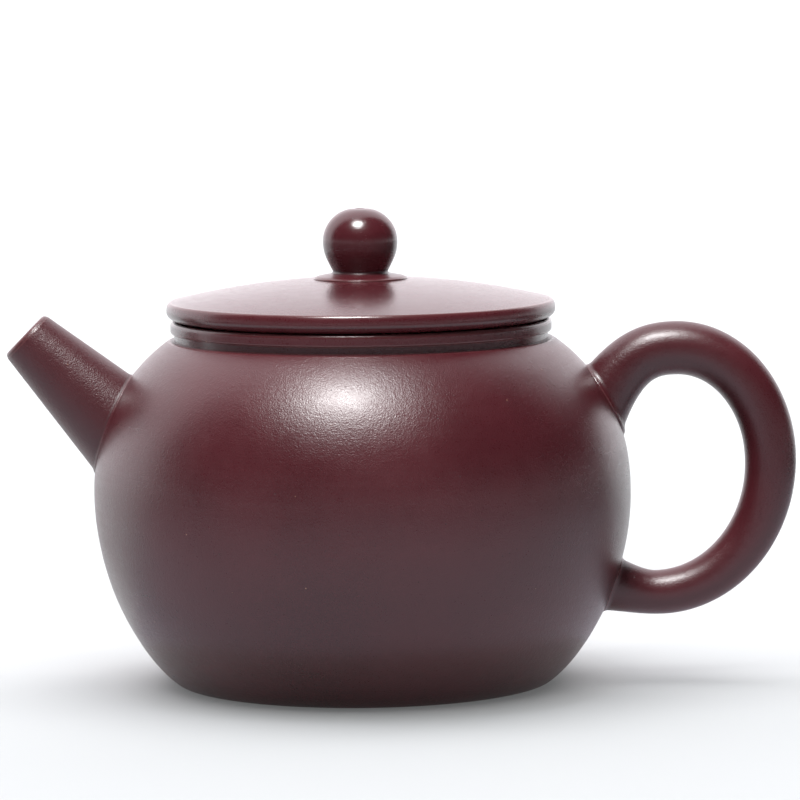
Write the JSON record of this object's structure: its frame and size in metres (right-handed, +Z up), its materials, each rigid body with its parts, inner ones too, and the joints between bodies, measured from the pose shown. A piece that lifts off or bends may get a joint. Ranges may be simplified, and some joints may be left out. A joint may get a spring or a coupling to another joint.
{
  "type": "clay teapot",
  "caption": "Round unglazed clay teapot with a straight spout, an ear handle, and a lift-off domed lid with a ball knob.",
  "frame": {"origin": "centre of the flat ring that the pot stands on, on the belly's axis", "axes": "+X towards the handle, -X towards the spout, +Z up through the knob"},
  "size_m": [0.134, 0.0914, 0.0804],
  "materials": {
    "body_clay": "unglazed purple-brown stoneware, beaten and burnished, soft sheen, fine sand grain",
    "trim_clay": "the same clay, thrown and burnished bands with bright worn edges",
    "spout_clay": "the same clay, rubbed smooth along the spout",
    "handle_clay": "the same clay, rolled and wiped smooth",
    "lid_clay": "the same clay, the finest burnish",
    "inner_clay": "the same clay left dry and matt inside"
  },
  "bodies": {
    "pot": {"body_wall": "body_clay", "base_disc": "body_clay", "shoulder_disc": "body_clay", "neck_ring": "trim_clay", "mouth_band": "trim_clay", "spout": "spout_clay", "ball_strainer": "inner_clay", "handle": "handle_clay"},
    "lid": {"lid_slab": "lid_clay", "lid_band": "trim_clay", "lid_collar": "trim_clay", "knob_disc": "trim_clay", "knob": "lid_clay"}
  },
  "joints": [
    {"name": "lid_lift", "type": "slide", "parent": "pot", "child": "lid", "axis": [0, 0, 1], "range_m": [0, 0.04]}
  ]
}
